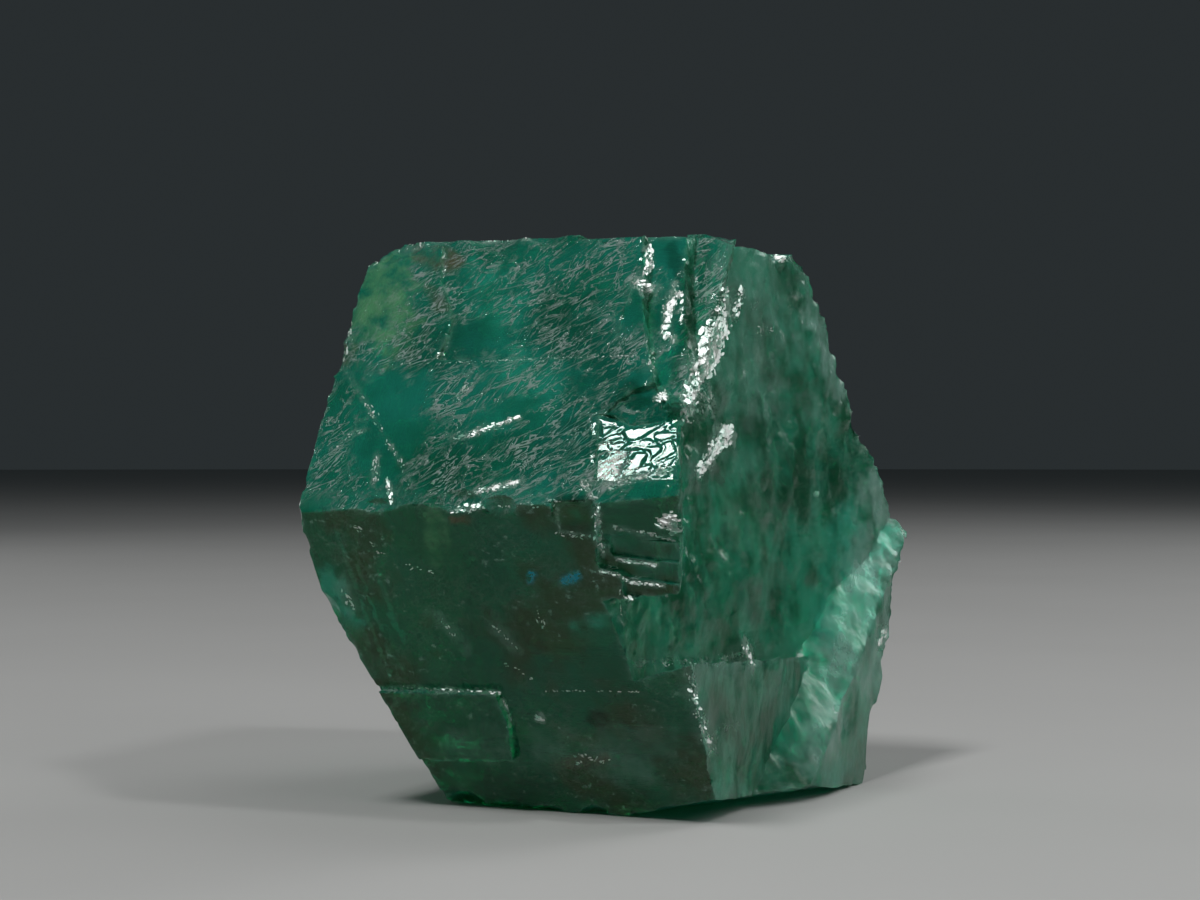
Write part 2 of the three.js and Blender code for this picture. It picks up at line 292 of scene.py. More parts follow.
def edge_angles(points, faces):
    """The mesh's edges, and the angle between the two faces at each."""
    normals = unit(face_normals(points, faces))
    sides = np.sort(np.concatenate([faces[:, [0, 1]], faces[:, [1, 2]], faces[:, [2, 0]]]), axis=1)
    owners = np.tile(np.arange(len(faces)), 3)
    order = np.lexsort((sides[:, 1], sides[:, 0]))
    sides, owners = sides[order], owners[order]
    cosine = (normals[owners[0::2]] * normals[owners[1::2]]).sum(1)
    return sides[0::2], np.arccos(np.clip(cosine, -1, 1))


def neighbour_mean(values, edges):
    """Each vertex's mean over its neighbours."""
    total = np.zeros_like(values)
    count = np.bincount(edges.ravel(), minlength=len(values)).astype(float)
    np.add.at(total, edges[:, 0], values[edges[:, 1]])
    np.add.at(total, edges[:, 1], values[edges[:, 0]])
    return total / (count[:, None] if values.ndim == 2 else count)


def smooth_step(values, low, high):
    """A smooth rise from 0 at low to 1 at high."""
    share = np.clip((values - low) / (high - low), 0, 1)
    return share * share * (3 - 2 * share)


# How a cloudy noise's finer layers fade and shrink, and how far apart two noises are taken.
CLOUD_FADE = 0.7
CLOUD_SHRINK = 2.0
CLOUD_STEP = 17.3


def clouds(points, size, seed, octaves=3):
    """Cloudy noise from about -1 to 1, with lumps of a size in mm that may differ by axis."""
    places = points / np.array(size) + CLOUD_STEP * seed
    return np.array([noise.fractal(Vector(place), CLOUD_FADE, CLOUD_SHRINK, octaves) for place in places])


# Places on the crystal, found from the photograph or from the way each surface faces.

FORWARD = np.array([-math.sin(CAMERA_TURN), math.cos(CAMERA_TURN), 0])
RIGHT = np.array([math.cos(CAMERA_TURN), math.sin(CAMERA_TURN), 0])
CAMERA = np.array(CAMERA_PLACE - ORIGIN)
SLOPE_SIN, SLOPE_COS = math.sin(math.radians(30)), math.cos(math.radians(30))
UPPER_FRONT = np.array([0, -SLOPE_COS, SLOPE_SIN])
LOWER_FRONT = np.array([0, -SLOPE_COS, -SLOPE_SIN])
UPPER_BACK = np.array([0, SLOPE_COS, SLOPE_SIN])
TOP = np.array([0, 0, 1])
UPPER_SHARES = (UPPER_FRONT, 1), (TOP, 0.8), (UPPER_BACK, 0.6)

# How squarely a surface faces the camera, or the broken end, to count as seen or as broken.
SEEN_FACING = 0.0, 0.12
BROKEN_FACING = 0.3, 0.6

# A mark is whole up to this share of its reach, then fades to a border that a noise makes ragged.
MARK_CORE = 0.35
MARK_RAGGED = 0.45
MARK_FARTHEST = 2

# How much of the hairlines the leaf green glow hides, and of the brown depths the blue spots hide.
LEAF_CLEARS = 0.7
BLUE_CLEARS = 1

# Lines that several groups of marks follow, in the photograph's pixels.
UPPER_STEP = (616, 559), (635, 562), (656, 565)
LOWER_STEP = (600, 571), (617, 574), (630, 582), (664, 586)
SHORT_STEP = (625, 598), (634, 599)
RIDGE_CHIPS = (452, 511), (482, 505)
RISER = (648, 250), (651, 264), (646, 272)
MIDDLE_STREAK = (450, 438), (474, 433), (500, 425), (518, 418)
NOTCH_SIDE = (597, 505), (598, 528), (602, 552)

# Each mark below has its reach in pixels, its strength, and the pixels of the line that it follows.

# Pale broken bits and streaks, partly painted highlights where streaks, steps, risers and the crumpled spot
# catch the light.
PALE_MARKS = {
    "brightest streak": (11, 1.0, (718, 328), (706, 352), (696, 376), (688, 394), (688, 410)),
    "streak above it": (7, 0.8, (726, 296), (719, 322)),
    "second streak above it": (7, 0.6, (741, 288), (733, 322)),
    "thin groove at the top": (6, 0.5, (718, 255), (719, 285)),
    "patch below the streak": (12, 0.6, (702, 390), (707, 412)),
    "upper blob": (10, 0.85, (722, 428), (727, 440), (712, 448)),
    "lower blob": (9, 0.7, (714, 452), (704, 466), (698, 476)),
    "corner flecks": (8, 0.75, (676, 285), (668, 312), (666, 330), (674, 340)),
    "corner flecks lower": (9, 0.45, (655, 352), (648, 368)),
    "far fleck": (7, 0.45, (757, 332), (772, 328)),
    "far fleck on the rim": (10, 0.3, (745, 300), (760, 310)),
    "band's bright speck": (8, 0.8, (886, 628), (882, 645)),
    "ledge": (6, 0.6, (633, 664), (665, 660), (700, 662), (735, 657), (752, 655)),
    "ledge's horn": (6, 0.75, (742, 640), (750, 655), (754, 668)),
    "ragged streak": (9, 0.55, (688, 668), (692, 695), (702, 712), (708, 735), (713, 752)),
    "ragged streak's branch": (7, 0.4, (710, 742), (724, 728), (736, 724)),
    "riser": (7, 1.0, (647, 248), (651, 262), (646, 272)),
    "flake": (12, 0.8, (638, 283), (652, 291)),
    "pale ridge": (5, 0.5, (345, 368), (362, 396), (378, 425), (398, 456), (414, 488)),
    "left streak": (5, 0.55, (332, 448), (348, 436), (364, 430)),
    "left short streak": (6, 0.5, (378, 456), (373, 486)),
    "streak by the ridge": (5, 0.7, (388, 482), (392, 503)),
    "middle streak": (6, 0.7, *MIDDLE_STREAK),
    "low streak": (6, 0.7, (458, 508), (470, 492), (500, 486), (522, 482)),
    "small streak": (6, 0.5, (455, 400), (466, 388)),
    "top edge streak": (7, 1.0, (485, 240), (506, 237), (527, 236)),
    "top edge bits": (8, 0.55, (398, 250), (432, 243)),
    "left top corner": (8, 0.5, (372, 266), (382, 254)),
    "notch's left side": (4, 0.7, (556, 508), (560, 532), (590, 536)),
    "notch's top": (7, 0.75, (583, 482), (592, 497)),
    "notch's right side": (7, 0.8, (597, 505), (598, 528), (602, 552), (600, 572)),
    "chips on the near ridge": (7, 0.7, *RIDGE_CHIPS),
    "more chips on the ridge": (6, 0.45, (500, 507), (556, 502)),
    "plate's riser": (5, 0.75, (400, 687), (450, 690), (500, 693)),
    "plate's end": (5, 0.8, (503, 700), (511, 724)),
    "crumple": (7, 0.7, (660, 526), (670, 520), (676, 528)),
    "crumple's line": (4, 0.6, (612, 527), (645, 533), (672, 540), (680, 548)),
    "upper step": (4, 1.0, *UPPER_STEP),
    "lower step": (4, 1.0, *LOWER_STEP),
    "short step": (4, 0.8, *SHORT_STEP),
    "mirror's lower band": (7, 0.6, (585, 500), (592, 482), (612, 486), (640, 478), (672, 470)),
    "small bright triangle": (7, 0.8, (657, 398), (664, 396)),
    "depth fleck": (7, 0.3, (430, 612), (442, 622)),
    "second depth fleck": (7, 0.3, (492, 616), (508, 640)),
    "third depth fleck": (8, 0.4, (350, 598), (358, 608)),
    "pale speck": (7, 1.0, (539, 718), (541, 719)),
}
# Where shards lie. In place of the strength stands how many there are.
SHARD_MARKS = {
    "brightest streak": (12, 187, (716, 330), (706, 352), (697, 376), (690, 396)),
    "streak's tail": (8, 27, (690, 396), (684, 412), (690, 420)),
    "upper streak": (8, 41, (722, 290), (716, 325)),
    "second upper streak": (8, 20, (741, 292), (734, 318)),
    "patch": (9, 31, (704, 392), (708, 408)),
    "blobs": (10, 95, (725, 430), (722, 444), (710, 456), (700, 474)),
    "corner flecks": (8, 51, (678, 288), (668, 312), (666, 332), (674, 342)),
    "riser": (6, 44, *RISER),
    "flake": (7, 34, (638, 284), (652, 290)),
    "flecks by the window": (7, 14, (652, 352), (650, 370)),
    "small bright triangle": (6, 20, (657, 399), (665, 395)),
    "top edge": (5, 37, (488, 240), (528, 236)),
    "top edge bits": (6, 20, (398, 249), (434, 243)),
    "left corner": (5, 10, (373, 266), (381, 256)),
    "middle streak": (5, 51, *MIDDLE_STREAK),
    "low streak": (5, 44, (470, 494), (500, 487), (522, 482)),
    "small streak": (5, 17, (455, 400), (466, 388)),
    "left streaks": (4, 17, (334, 448), (350, 436), (364, 430)),
    "left short streak": (5, 17, (378, 456), (374, 484)),
    "streak by the ridge": (4, 20, (386, 478), (392, 503)),
    "pale ridge": (5, 34, (360, 392), (385, 436), (412, 486)),
    "near ridge chips": (5, 27, *RIDGE_CHIPS),
    "near ridge": (5, 20, (490, 508), (556, 502)),
    "notch's top": (5, 24, (583, 482), (592, 497)),
    "notch's side": (5, 51, *NOTCH_SIDE),
    "notch's foot": (4, 20, (558, 534), (590, 537)),
    "mirror's lower edge": (5, 44, (612, 486), (640, 478), (672, 470)),
    "crumple": (8, 78, (660, 524), (670, 518), (674, 530)),
    "crumple's line": (3, 24, (612, 527), (645, 533), (678, 542)),
    "upper step": (2, 37, *UPPER_STEP),
    "lower step": (2, 51, *LOWER_STEP),
    "short step": (2, 8, *SHORT_STEP),
    "ledge": (4, 27, (638, 664), (700, 662), (752, 655)),
    "ledge's horn": (4, 17, (743, 642), (754, 668)),
    "ragged streak": (7, 44, (689, 672), (694, 700), (706, 735), (713, 752)),
    "plate's riser": (2, 27, (402, 687), (450, 690), (500, 693)),
    "plate's end": (3, 17, (504, 700), (511, 724)),
    "band's bright speck": (6, 20, (886, 630), (882, 645)),
    "far flecks": (6, 10, (757, 332), (772, 328)),
    "speck on the far rim": (5, 60, (774, 258), (786, 259)),
    "upper thin line": (1, 70, (400, 364), (470, 362), (560, 358), (640, 355)),
    "flecks in the lower face": (3, 12, (440, 618), (464, 650)),
    "flecks beside them": (3, 12, (491, 623), (518, 650)),
    "flecks below them": (3, 9, (504, 663), (538, 681)),
    "flecks above them": (3, 9, (406, 564), (432, 572)),
    "curved fleck": (2, 12, (370, 543), (378, 553), (390, 554)),
    "upright flecks": (4, 10, (538, 610), (544, 628)),
    "fleck under the near ridge": (3, 8, (355, 527), (361, 531)),
    "lower thin line": (1, 36, (536, 691), (590, 691), (640, 692)),
    "line under the steps": (1, 12, (620, 590), (621, 618)),
    "pale speck": (4, 30, (537, 718), (542, 720)),
    "speck by the plate": (3, 7, (508, 726), (511, 728)),
    "flecks along the low band": (4, 10, (572, 752), (606, 762)),
    "left edge flecks": (6, 12, (346, 592), (354, 606)),
    "low brown streak": (5, 10, (572, 766), (606, 758)),
}
# Where flat flakes glint in the small light that reaches the break, and again how many.
BREAK_GLINT_MARKS = {
    "right half of the streak": (9, 170, (722, 324), (716, 350), (706, 374)),
    "middle of the streak": (7, 130, (714, 326), (710, 348), (702, 370)),
    "streak's foot": (7, 40, (698, 378), (690, 398)),
    "streak above": (6, 26, (726, 292), (722, 322)),
    "second streak above": (6, 22, (742, 288), (734, 318)),
    "upper blob": (8, 110, (726, 428), (724, 442), (712, 448)),
    "lower blob": (6, 60, (714, 452), (704, 466), (698, 474)),
    "ledge's horn": (4, 14, (744, 644), (753, 664)),
    "ragged streak": (5, 10, (689, 672), (694, 700), (706, 735), (712, 750)),
    "band's bright speck": (6, 22, (886, 630), (882, 645)),
}
# Where they glint in the key light.
GLINT_MARKS = {
    "brightest streak": (11, 150, (717, 326), (709, 350), (700, 374)),
    "brightest streak's middle": (9, 170, (713, 334), (704, 364)),
    "brightest streak's tail": (8, 34, (698, 376), (690, 396), (688, 412)),
    "streak above": (7, 20, (724, 288), (718, 318)),
    "corner flecks": (7, 34, (677, 296), (668, 316), (666, 334)),
    "riser": (6, 34, *RISER),
    "flake": (6, 14, (640, 284), (650, 290)),
    "small bright triangle": (5, 22, (658, 398), (664, 395)),
    "top edge": (3, 24, (488, 240), (528, 236)),
    "crumple": (7, 80, (662, 524), (671, 518), (674, 530)),
    "crumple's line": (2, 14, (640, 530), (678, 542)),
    "upper step": (2, 40, *UPPER_STEP),
    "lower step": (2, 50, *LOWER_STEP),
    "short step": (2, 8, *SHORT_STEP),
    "notch's side": (4, 20, *NOTCH_SIDE),
    "middle streak": (4, 20, (470, 434), (518, 418)),
    "low streak": (4, 20, (480, 490), (522, 482)),
    "near ridge chips": (4, 14, *RIDGE_CHIPS),
    "streak by the ridge": (3, 12, (386, 478), (392, 503)),
    "plate's riser": (2, 12, (440, 690), (500, 693)),
    "speck on the far rim": (4, 24, (776, 258), (784, 258)),
}
# Where a pale haze lies: milky haze on broken surfaces, and painted sheen and highlight, as on the bright
# band at the right and over the upper break.
FROST_AND_SHEEN_MARKS = {
    "rim at the top right": (18, 0.7, (798, 258), (812, 272), (814, 290)),
    "rim on the right": (22, 1.3, (816, 308), (826, 335), (834, 360), (838, 384)),
    "band": (34, 1.0, (884, 492), (878, 530), (866, 580), (852, 630), (838, 675), (826, 708), (818, 742)),
    "band's second edge": (20, 0.85, (898, 520), (895, 580), (888, 640), (872, 690)),
    "ledge's face": (16, 0.2, (640, 664), (752, 655)),
    "round the streak": (26, 0.5, (722, 300), (700, 365), (692, 405)),
    "round the blobs": (24, 0.45, (722, 435), (700, 475)),
    "round the ragged streak": (16, 0.4, (690, 680), (712, 745)),
    "low haze": (24, 0.25, (460, 745), (560, 750), (620, 745), (660, 740)),
    "near ridge": (14, 0.12, (300, 496), (450, 498), (556, 494)),
    "haze on the upper break": (46, 0.5, (742, 262), (756, 310), (740, 400)),
    "haze further right": (30, 0.35, (782, 290), (792, 350)),
    "haze spot": (16, 0.5, (806, 400), (814, 412)),
    "haze in the middle": (40, 0.3, (730, 470), (752, 520)),
    "left edge specks": (12, 0.35, (342, 582), (352, 606)),
    "flecks in the lower face": (8, 0.35, (438, 616), (466, 652)),
    "flecks beside them": (8, 0.35, (492, 624), (518, 652)),
    "low band": (22, 0.4, (560, 742), (640, 770)),
    "spot on the break": (14, 0.6, (770, 385), (776, 389)),
}
# Where the colour differs: reddish brown stains, darker marks, turquoise, leaf green and blue, partly painted
# shade and painted glow as said above each group.
WARM_MARKS = {
    "red-brown patch": (16, 0.75, (425, 256), (450, 260)),
    "ochre fleck": (6, 0.9, (452, 519), (466, 520)),
    "low brown streak": (9, 0.8, (570, 764), (604, 758)),
    "pale brown patch": (10, 0.4, (430, 292), (442, 306)),
    "ochre rim": (12, 0.5, (340, 360), (352, 350)),
}
# Darker marks: the black speck is a real one; the others are painted shade in the notch, the grooves and the
# window and on shaded parts of the faces, the break and the bottom.
DARK_MARKS = {
    "black speck": (11, 1.15, (595, 718), (601, 718)),
    "notch": (12, 0.8, (563, 500), (588, 500), (588, 524), (568, 526)),
    "upper shade": (46, 0.45, (560, 325), (600, 365), (590, 420)),
    "middle shade": (36, 0.4, (430, 470), (500, 455), (560, 450)),
    "left shade": (34, 0.35, (420, 350), (470, 345)),
    "break's groove": (11, 0.6, (672, 250), (690, 300), (684, 350), (676, 380)),
    "break's second groove": (10, 0.5, (705, 250), (700, 300)),
    "break's shade": (50, 0.4, (765, 430), (800, 480), (840, 470)),
    "break's low shade": (44, 0.4, (700, 600), (760, 590)),
    "low right shade": (70, 0.4, (745, 700), (790, 740)),
    "window": (16, 0.7, (608, 405), (628, 392), (640, 402)),
    "low band": (20, 0.5, (450, 785), (560, 790), (640, 795)),
}
# Turquoise marks: mostly painted glow of light that comes through the crystal at its edges and in patches.
TEAL_MARKS = {
    "upper glow": (38, 0.8, (488, 292), (512, 300)),
    "middle glow": (34, 0.7, (525, 372), (548, 384)),
    "left edge glow": (20, 1.5, (328, 580), (340, 618)),
    "lower left edge glow": (22, 1.5, (350, 636), (372, 672)),
    "low turquoise patch": (9, 0.8, (574, 621), (600, 620), (614, 616)),
    "round the blue spots": (26, 0.3, (556, 590), (600, 600)),
    "steps": (26, 0.35, (610, 545), (640, 556), (672, 560)),
    "band's inner side": (26, 0.7, (850, 520), (838, 580), (826, 640)),
    "far corner glow": (30, 0.6, (800, 740), (830, 770)),
}
# Leaf green marks: painted glow of light that comes through the crystal.
LEAF_MARKS = {
    "top left glow": (48, 1.0, (384, 285), (378, 320)),
    "lower glow": (17, 0.7, (436, 524), (434, 552)),
}
BLUE_MARKS = {
    "large blue spot": (7, 1.3, (565, 579), (577, 577)),
    "small blue spot": (6, 1.3, (531, 574), (531, 580)),
}
# Where the scales are that reflect the key light.
MIRROR_MARKS = {
    "mirror": (24, 1.0, (606, 426), (632, 440), (664, 428), (664, 452), (640, 456)),
}
MARK_GROUPS = {
    "pale": PALE_MARKS,
    "frost_and_sheen": FROST_AND_SHEEN_MARKS,
    "warm": WARM_MARKS,
    "dark": DARK_MARKS,
    "teal": TEAL_MARKS,
    "leaf": LEAF_MARKS,
    "blue": BLUE_MARKS,
    "mirror": MIRROR_MARKS,
}


def photo_pixels(points):
    """Where each point falls in the photograph."""
    offsets = points - CAMERA
    depth = offsets @ FORWARD
    across = PHOTO_WIDTH / 2 + FOCAL_PIXELS * (offsets @ RIGHT) / depth
    down = PHOTO_HEIGHT / 2 - FOCAL_PIXELS * offsets[:, 2] / depth
    return np.stack([across, down], 1)


def distance_to_line(at, line):
    """How far each place is from a line of several stretches."""
    nearest = np.full(len(at), np.inf)
    for start, end in zip(np.array(line, float), np.array(line[1:], float)):
        along = end - start
        share = np.clip((at - start) @ along / (along @ along), 0, 1)
        nearest = np.minimum(nearest, np.linalg.norm(at - start - share[:, None] * along, axis=1))
    return nearest


def painted(marks, pixels, ragged):
    """How strongly a group of marks covers each place, with borders that a noise makes ragged."""
    cover = np.zeros(len(pixels))
    for reach, strength, *line in marks.values():
        distance = distance_to_line(pixels, line)
        near = np.flatnonzero(distance < MARK_FARTHEST * reach)
        share = distance[near] / reach + MARK_RAGGED * ragged[near]
        cover[near] = np.maximum(cover[near], strength * (1 - smooth_step(share, MARK_CORE, 1.0)))
    return cover


def facing(normals, direction, low=0.75, high=0.95):
    """How nearly each normal points in a direction, from 0 to 1."""
    return smooth_step(normals @ direction, low, high)


# Relief of each kind of surface, in mm along the surface's own normal.

# Rounds of smoothing, and the angle from which an edge is a real one that they leave alone.
RELAXING_ROUNDS = 4
REAL_EDGE = math.radians(18)

# The break: shell-like lumps, grain in patches, and bent grooves that get deeper from one height to another.
LUMP_SIZE, LUMP_HEIGHT = (1.8, 1.3, 1.9), 0.09
GRAIN_SIZE, GRAIN_HEIGHT = 0.5, 0.028
GRAIN_PATCH_SIZE, GRAIN_PATCH_EDGE = 1.4, (-0.3, 0.4)
GROOVE_SIZE, GROOVE_SHARPNESS, GROOVE_BEND = (1.8, 0.62, 3.4), 2.4, 0.6
GROOVE_HEIGHT, GROOVE_GAIN = 0.006, 0.06
GROOVES_DEEPEN = 3.5, 7.5

# The prism faces: growth lines along the prism, gentle waves and shallow pits.
GROWTH_LINE_SIZE, GROWTH_LINE_HEIGHT = (6, 0.4, 0.4), 0.006
WAVE_SIZE, WAVE_HEIGHT = (2.4, 1.6, 1.6), 0.018
PIT_SIZE, PIT_EDGE, PIT_DEPTH = 0.4, (0.35, 0.7), 0.016

# The mirror-like spot: scales drawn out up to the right on the upper front face, and the cracks between them.
SCALE_ALONG = Vector((0.87, 0.25, 0.43))
SCALE_ACROSS = Vector((-0.5, 0.43, 0.75))
SCALE_LENGTH, SCALE_WIDTH = 0.55, 0.3
SCALE_TILT = 0.018
CRACK_WIDTH, CRACK_DEPTH = 0.2, 0.012
BEND_OFFSETS = Vector((11.3, 0, 0)), Vector((0, 23.7, 0)), Vector((0, 0, 31.9))
BEND_FINENESS, BEND_STRENGTH = 0.8, 0.7
TILT_STEP = 37

# Crumbs on the pale marks, and the chips that wear the sharp edges.
CRUMB_SIZE, CRUMB_HEIGHT = 0.17, 0.03
CHIP_SIZE, CHIP_EDGE, CHIP_DEPTH = 0.5, (-0.1, 0.5), 0.05
WORN_EDGE = math.radians(35)
WEAR_ROUNDS, WEAR_FADE = 2, 0.8
RAGGED_SIZE = 0.35


def relaxed(points, faces):
    """Rounds the small angles between the break's flat triangles, and leaves real edges alone."""
    edges, angles = edge_angles(points, faces)
    held = np.zeros(len(points), bool)
    held[edges[angles > REAL_EDGE].ravel()] = True
    for _ in range(RELAXING_ROUNDS):
        moved = neighbour_mean(points, edges)
        points = np.where(held[:, None], points, 0.5 * points + 0.5 * moved)
    return points


def break_relief(points):
    """Shell-like lumps with steep curved grooves, as brittle breaks have."""
    lumps = clouds(points, LUMP_SIZE, seed=1, octaves=4)
    grain = clouds(points, GRAIN_SIZE, seed=2, octaves=4)
    bent = points + lumps[:, None] * GROOVE_BEND
    grooves = 1 - GROOVE_SHARPNESS * np.abs(clouds(bent, GROOVE_SIZE, seed=3, octaves=2))
    high = smooth_step(points[:, 2], *GROOVES_DEEPEN)
    patches = smooth_step(clouds(points, GRAIN_PATCH_SIZE, seed=9, octaves=2), *GRAIN_PATCH_EDGE)
    shells = LUMP_HEIGHT * lumps + GRAIN_HEIGHT * patches * grain
    return shells + (GROOVE_HEIGHT + GROOVE_GAIN * high) * grooves


def prism_relief(points):
    """Growth lines along the prism, gentle waves and shallow pits."""
    lines = clouds(points, GROWTH_LINE_SIZE, seed=4, octaves=2)
    waves = clouds(points, WAVE_SIZE, seed=5, octaves=2)
    pits = smooth_step(clouds(points, PIT_SIZE, seed=6, octaves=2), *PIT_EDGE)
    return GROWTH_LINE_HEIGHT * lines + WAVE_HEIGHT * waves - PIT_DEPTH * pits


def bend(place):
    return Vector([noise.noise(place + offset) for offset in BEND_OFFSETS])


def mirror_relief(points):
    """Small flat scales, each tilted its own way, with cracks between them."""
    heights = []
    for place in map(Vector, points):
        spot = Vector((place.dot(SCALE_ALONG) / SCALE_LENGTH, place.dot(SCALE_ACROSS) / SCALE_WIDTH, 0))
        gaps, centres = noise.voronoi(spot + BEND_STRENGTH * bend(spot * BEND_FINENESS))
        tilt = noise.cell_vector(centres[0] * TILT_STEP) - Vector((0.5, 0.5, 0.5))
        crack = min(1, (gaps[1] - gaps[0]) / CRACK_WIDTH)
        heights.append(SCALE_TILT * (spot - centres[0]).dot(tilt) + CRACK_DEPTH * crack)
    return np.array(heights)


def worn_edges(points, faces):
    """One on sharp edges, fading to nothing a few triangles away."""
    edges, angles = edge_angles(points, faces)
    worn = np.zeros(len(points))
    worn[edges[angles > WORN_EDGE].ravel()] = 1
    for _ in range(WEAR_ROUNDS):
        worn = np.maximum(worn, WEAR_FADE * neighbour_mean(worn, edges))
    return worn


def surface_kinds(points, faces, normals):
    """How broken and worn each point is, and how much it is on the upper faces or the lower front one."""
    return {
        "broken": smooth_step(normals[:, 0], *BROKEN_FACING),
        "wear": worn_edges(points, faces),
        "upper": sum(share * facing(normals, way) for way, share in UPPER_SHARES),
        "lower": facing(normals, LOWER_FRONT),
    }


def mark_covers(points, normals):
    """How strongly each group of marks covers each point that the camera sees."""
    pixels = photo_pixels(points)
    seen = smooth_step((unit(CAMERA - points) * normals).sum(1), *SEEN_FACING)
    ragged = clouds(points, RAGGED_SIZE, seed=7, octaves=4)
    cover = {name: painted(marks, pixels, ragged) * seen for name, marks in MARK_GROUPS.items()}
    cover["mirror"] *= facing(normals, UPPER_FRONT, low=0.6, high=0.85)
    return cover


def relief(points, cover):
    """How far each point moves out along its normal."""
    height = cover["broken"] * break_relief(points) + (1 - cover["broken"]) * prism_relief(points)
    near_mirror = cover["mirror"] > 0
    height[near_mirror] *= 1 - cover["mirror"][near_mirror]
    height[near_mirror] += cover["mirror"][near_mirror] * mirror_relief(points[near_mirror])
    height += CRUMB_HEIGHT * cover["pale"] * clouds(points, CRUMB_SIZE, seed=10, octaves=2)
    chips = smooth_step(clouds(points, CHIP_SIZE, seed=8, octaves=3), *CHIP_EDGE)
    return height - CHIP_DEPTH * cover["wear"] * chips


def crystal_surface():
    """The finished points and triangles, and how strongly each kind of surface or mark covers each point."""
    points, faces = fine_mesh()
    low, high = points.min(0), points.max(0)
    points = relaxed(points, faces)
    normals = vertex_normals(points, faces)
    cover = surface_kinds(points, faces, normals) | mark_covers(points, normals)
    cover["upper"] *= 1 - LEAF_CLEARS * np.clip(cover["leaf"], 0, 1)
    cover["lower"] *= 1 - BLUE_CLEARS * np.clip(cover["blue"], 0, 1)
    points = np.clip(points + normals * relief(points, cover)[:, None], low, high)
    return points, faces, cover


def add_piece(name, points, faces, material):
    """A mesh piece in the scene, from points in mm in the prism's own frame."""
    mesh = bpy.data.meshes.new(name)
    mesh.from_pydata(((points + np.array(ORIGIN)) * MM).tolist(), [], faces.tolist())
    mesh.validate(verbose=False)
    mesh.materials.append(material)
    piece = bpy.data.objects.new(name, mesh)
    bpy.context.scene.collection.objects.link(piece)
    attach(piece, "root")
    return piece


def build_crystal(points, faces, cover):
    """The crystal in place of its solid, with each cover as an attribute that its material reads."""
    piece = add_piece("emerald", points, faces, build_emerald())
    mesh = piece.data
    mesh.shade_smooth()
    mesh.set_sharp_from_angle(angle=SHARP_ANGLE)
    for name, values in cover.items():
        attribute = mesh.attributes.new(name, "FLOAT", "POINT")
        attribute.data.foreach_set("value", values.astype(np.float32))
    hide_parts(NODE)


# Shards: tiny splinters of crushed crystal that stick in the pale streaks and along chipped edges.

# How large shards and flakes are in mm, how far they turn off their mark's line, and how they tilt.
SHARD_SIZE = 0.06
SHARD_TURN = math.radians(22)
SHARD_TILT = 0.35
FLAKE_SIZE = 0.09
FLAKE_TILT = 0.03
FLAKE_LIFT = 0.2
FLAKE_THICKNESS = 0.1

# The spans that a shard's and a flake's stretch and uneven edge are drawn from.
SHARD_STRETCH = (0.7, 2.0), (0.3, 0.7), (0.2, 0.4)
SHARD_UNEVEN = 0.55, 1.15
FLAKE_STRETCH = (0.7, 1.6), (0.3, 0.8)
FLAKE_UNEVEN = 0.6, 1.15

# How far they scatter about a mark, as a share of its reach, and how their size grows with the reach.
SCATTER = 0.36
SIZE_SPREAD = 0.3, 1.0
LEAST_SIZE, SIZE_PER_REACH, LARGEST_SIZE = 0.45, 1 / 14, 1.2
SHARD_SEED = 11


def points_and_triangles(bm):
    """A mesh's points and triangles as arrays."""
    bmesh.ops.triangulate(bm, faces=bm.faces)
    points = np.array([tuple(vertex.co) for vertex in bm.verts])
    faces = np.array([[vertex.index for vertex in face.verts] for face in bm.faces])
    bm.free()
    return points, faces


def ball():
    """A rough ball, the start of each shard."""
    bm = bmesh.new()
    bmesh.ops.create_icosphere(bm, subdivisions=1, radius=1)
    return points_and_triangles(bm)


def plate():
    """A six-sided plate, the start of each flake."""
    bm = bmesh.new()
    bmesh.ops.create_cone(bm, cap_ends=True, segments=6, radius1=1, radius2=1, depth=2)
    return points_and_triangles(bm)


def under_pixel(surface, pixel):
    """Where the photograph's ray through a pixel first meets the crystal, and the surface's normal there."""
    across = (pixel[0] - PHOTO_WIDTH / 2) / FOCAL_PIXELS
    up = (PHOTO_HEIGHT / 2 - pixel[1]) / FOCAL_PIXELS
    towards = Vector(FORWARD) + Vector(RIGHT) * across + Vector((0, 0, up))
    place, normal, _, _ = surface.ray_cast(Vector(CAMERA), towards.normalized())
    return place, normal


def spread_along(line, count, reach, random):
    """Pixels scattered about a line, thickest along its middle."""
    line = np.array(line, float)
    lengths = np.linalg.norm(np.diff(line, axis=0), axis=1)
    ends = np.concatenate([[0], np.cumsum(lengths)])
    at = random.uniform(0, ends[-1], count)
    middle = np.stack([np.interp(at, ends, line[:, 0]), np.interp(at, ends, line[:, 1])], 1)
    return middle + random.normal(0, SCATTER * reach, (count, 2))


def course(surface, line):
    """The way a mark runs on the crystal, from its first pixel to its last."""
    first, _ = under_pixel(surface, line[0])
    last, _ = under_pixel(surface, line[-1])
    if first is None or last is None:
        return Vector((0, 0, 1))
    return (last - first).normalized()


def turned_axes(normal, along, random):
    """A splinter's three axes: roughly along its mark, across it, and its normal."""
    side = (Matrix.Rotation(random.normal(0, SHARD_TURN), 3, normal) @ normal.cross(along)).normalized()
    return np.array([side.cross(normal), side, normal])


def shard(start, place, normal, along, size, random):
    """One rough splinter's points, sunk a little into the surface and lying roughly along its mark."""
    normal = (normal + Vector(random.normal(0, SHARD_TILT, 3))).normalized()
    axes = turned_axes(normal, along, random)
    stretch = np.array([random.uniform(*span) for span in SHARD_STRETCH])
    uneven = start * random.uniform(*SHARD_UNEVEN, (len(start), 1))
    return (uneven * stretch * size * SHARD_SIZE) @ axes + np.array(place)


